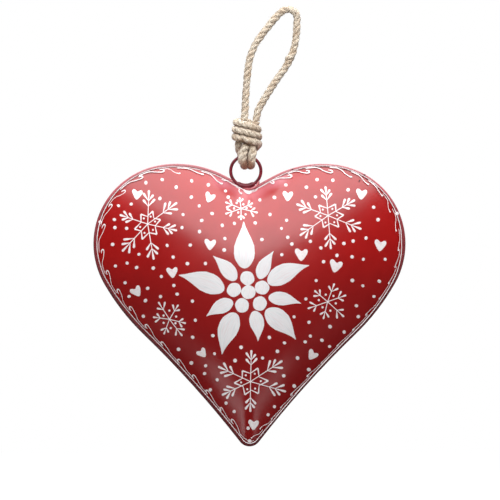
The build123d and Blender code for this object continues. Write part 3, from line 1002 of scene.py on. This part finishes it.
half = rightHalf()
rim = np.vstack([half, (half * [-1, 1])[-2:0:-1]]) * [1, -1] * mm / pixel
rim += (outline["axisPixel"], outline["topPixel"])
border = {
    # The paint all but fills the step inside the hem, flush with the hem's face
    "wall": 0.45 * mm, "front": -0.98 * mm,
    "lineHalf": 0.36, "waveThin": 0.7, "tailBelow": 1.7, "rowStep": 0.65,
    # Rows of a stroke as (share of the way to the next drop, depth, half width). The head's depth is from
    # the drop's own, with another head where the stroke goes down; the body's is a share of the fall.
    "headUp": [(-0.03, -0.3, 0.95), (0.03, 0.1, 0.85), (0.1, 0.1, 0.5)],
    "headDown": [(0.15, -2.2, 0.35), (0.07, -2.2, 0.6), (0, -1.6, 0.85), (-0.03, -0.7, 0.85),
                 (0, 0.1, 0.75), (0.08, 0.4, 0.5)],
    "body": [(0.22, 0.05, 0.4), (0.37, 0.3, 0.36), (0.52, 0.7, 0.34), (0.68, 0.95, 0.34), (0.9, 1, 0.33),
             (1.08, 1, 0.26)],
    "blots": [(100.2, 222, 1.7), (397, 213.5, 1.8), (249.6, 441.2, 2.0)],
    "notchStroke": ([(243.4, 190.6), (248.6, 192.6), (253.4, 190.4)], [0.7, 2.1, 0.7]),
    "middle": (249.5, 270),
    # The white line's distance from the edge in pixels, by the bearing from straight up, clockwise
    "insets": [(0, 3.5), (36, 2.1), (62, 2.3), (80, 4.0), (98, 2.8), (150, 2.2), (170, 2.0), (184, 3.6),
               (215, 3.5), (250, 4.2), (290, 3.3), (313, 2.4), (330, 3.4), (360, 3.5)],
}

# The wave's drops, from the notch down the left side to the tip and up the right one
waveDrops = [
    (241, 194), (221.6, 184.2), (202.8, 174.8), (179.8, 173.3), (163.5, 171.9), (142.6, 178),
    (125.2, 191.4), (112, 205.4), (105, 225.2), (103.4, 250), (107.9, 270.9), (118.5, 289.5),
    (130.7, 306.8), (146.4, 324.7), (162.1, 342.1), (178.9, 359.4), (193.6, 375.1), (207.1, 390.3),
    (221.2, 407.7), (232.6, 419.6), (251.4, 438), (260.1, 428.8), (271.5, 419.1), (280.7, 407.7),
    (291, 394.7), (307.2, 376.2), (321.3, 363.2), (337.1, 345.9), (352.8, 330.1), (365.8, 314.9),
    (379.4, 299), (388.6, 283.4), (395.1, 267.1), (398.4, 250.3), (396.2, 230.8), (390.2, 211.8),
    (382.1, 196.1), (368, 184.7), (351.2, 177.3), (331.7, 173), (308.9, 173), (291.5, 177.1),
    (273.6, 183.6), (256.5, 193.5),
]


def belowRim(spot):
    gaps = rim - spot
    nearest = gaps[np.argmin(np.linalg.norm(gaps, axis=1))]
    depth = np.linalg.norm(nearest)
    return depth, nearest / depth


def lineInset(spot):
    across, up = spot[0] - border["middle"][0], border["middle"][1] - spot[1]
    places, insets = zip(*border["insets"])
    return float(np.interp(math.degrees(math.atan2(across, up)) % 360, places, insets))


def whiteLine():
    ahead = np.roll(rim, -1, axis=0) - np.roll(rim, 1, axis=0)
    inward = np.stack([-ahead[:, 1], ahead[:, 0]], axis=1) / np.linalg.norm(ahead, axis=1)[:, None]
    return np.array([spot + way * lineInset(spot) for spot, way in zip(rim, inward)])


def paintBorder(mat):
    art = Painting("borderPaint", border["wall"], border["front"])
    line = whiteLine()
    art.stroke(np.vstack([line, line[:2]]), [border["lineHalf"]] * (len(line) + 2), caps=())
    for blot in border["blots"]:
        art.dab(*blot)
    art.stroke(*border["notchStroke"])
    for start, end in zip(waveDrops, waveDrops[1:]):
        start, end = np.array(start), np.array(end)
        depth, _ = belowRim(start)
        fall = depth - lineInset(end) - border["tailBelow"]
        head = border["headUp"] if end[1] < start[1] else border["headDown"]
        rows = [(share, depth + past, half) for share, past, half in head]
        rows += [(share, depth - fall * part, half) for share, part, half in border["body"]]
        points = []
        for share, deep, _ in rows:
            spot = start + (end - start) * share
            under, outward = belowRim(spot)
            points.append(spot + outward * (under - deep))
        widths = [half * border["waveThin"] for _, _, half in rows]
        art.stroke(points, widths, columns=1, step=border["rowStep"])
    art.finish(mat)


# Chips in the lacquer, down to the dull tin, as (x, y, radius)
chips = [(292, 169, 1.2), (364.7, 174.7, 1.1), (359.3, 180.9, 0.9), (137.2, 326.2, 1.0), (371.8, 318.6, 1.0)]
tin = {
    "waves": [(0.25, 2, 2), (0.15, 3, 1)], "surface": {"Roughness": 0.6},
    "noise": (900, 3, 0.5), "tones": [(0.35, (0.05, 0.016, 0.02)), (0.65, (0.12, 0.03, 0.04))],
}
wireEnd = {
    "points": [(259.0, 181.6, -0.7), (257.2, 185.0, -1.3), (254.6, 187.6, -1.8), (251.4, 188.9, -1.6)],
    "radius": 0.6 * mm, "roundness": 3,
}


def ringWireEnd(mat):
    points = [photoPlace(px, py) + Vector((0, y * mm, 0)) for px, py, y in wireEnd["points"]]
    piece = nurbs("ringWireEnd", points)
    piece.data.bevel_depth = wireEnd["radius"]
    piece.data.bevel_resolution = wireEnd["roundness"]
    piece.data.use_fill_caps = True
    bpy.context.scene.collection.objects.link(piece)
    selectOnly(piece)
    bpy.ops.object.convert(target="MESH")
    piece = bpy.context.object
    paint(piece, mat)
    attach(piece, "heart")


def paintChips(mat):
    art = Painting("lacquerChips")
    for n, (x, y, radius) in enumerate(chips):
        art.dab(x, y, radius, sides=10, rings=1, shape=wobbly(n, tin["waves"]))
    art.finish(mat)


def dullTin():
    mat, tree, shader = newMaterial("dullTin")
    tone = ramp(tree, noiseOn(tree, texCoords(tree, "Object"), *tin["noise"]), tin["tones"])
    colourOf(tree, shader, tone, tin["surface"])
    return mat


# The paint itself: brushed white that thins here and there

whitePaint = {
    # Noises are scale, detail and roughness; tones are stops of a ramp over them
    "streaks": (1.0, 5, 0.6), "stretch": (9, 1.6, 1),
    "streakTones": [(0.3, (0.70, 0.74, 0.75)), (0.5, (0.89, 0.90, 0.905)), (0.78, (0.80, 0.68, 0.68))],
    "marks": (700, 3, 0.6), "tones": [(0.3, (0.87, 0.75, 0.75)), (0.5, (0.96, 0.92, 0.92))],
    "bump": (0.08 * mm, 0.6), "surface": {"Roughness": 0.42, "Coat Weight": 0.35},
}


def brushedWhite(name, streaky):
    mat, tree, shader = newMaterial(name)
    if streaky:
        coords = stretched(tree, texCoords(tree, "UV"), whitePaint["stretch"])
        marks = noiseOn(tree, coords, *whitePaint["streaks"])
    else:
        marks = noiseOn(tree, texCoords(tree, "Object"), *whitePaint["marks"])
    tone = ramp(tree, marks, whitePaint["streakTones" if streaky else "tones"])
    colourOf(tree, shader, tone, whitePaint["surface"])
    bumpFrom(tree, shader, marks, *whitePaint["bump"])
    return mat


petalWhite = brushedWhite("petalWhite", True)
lineWhite = brushedWhite("lineWhite", False)
paintEdelweiss(petalWhite)
paintSnowflakes(lineWhite)
paintHearts(lineWhite)
paintDots(lineWhite)
paintBorder(lineWhite)
paintChips(dullTin())
ringWireEnd(redLacquer("wireEndLacquer"))
print("white paint laid on")
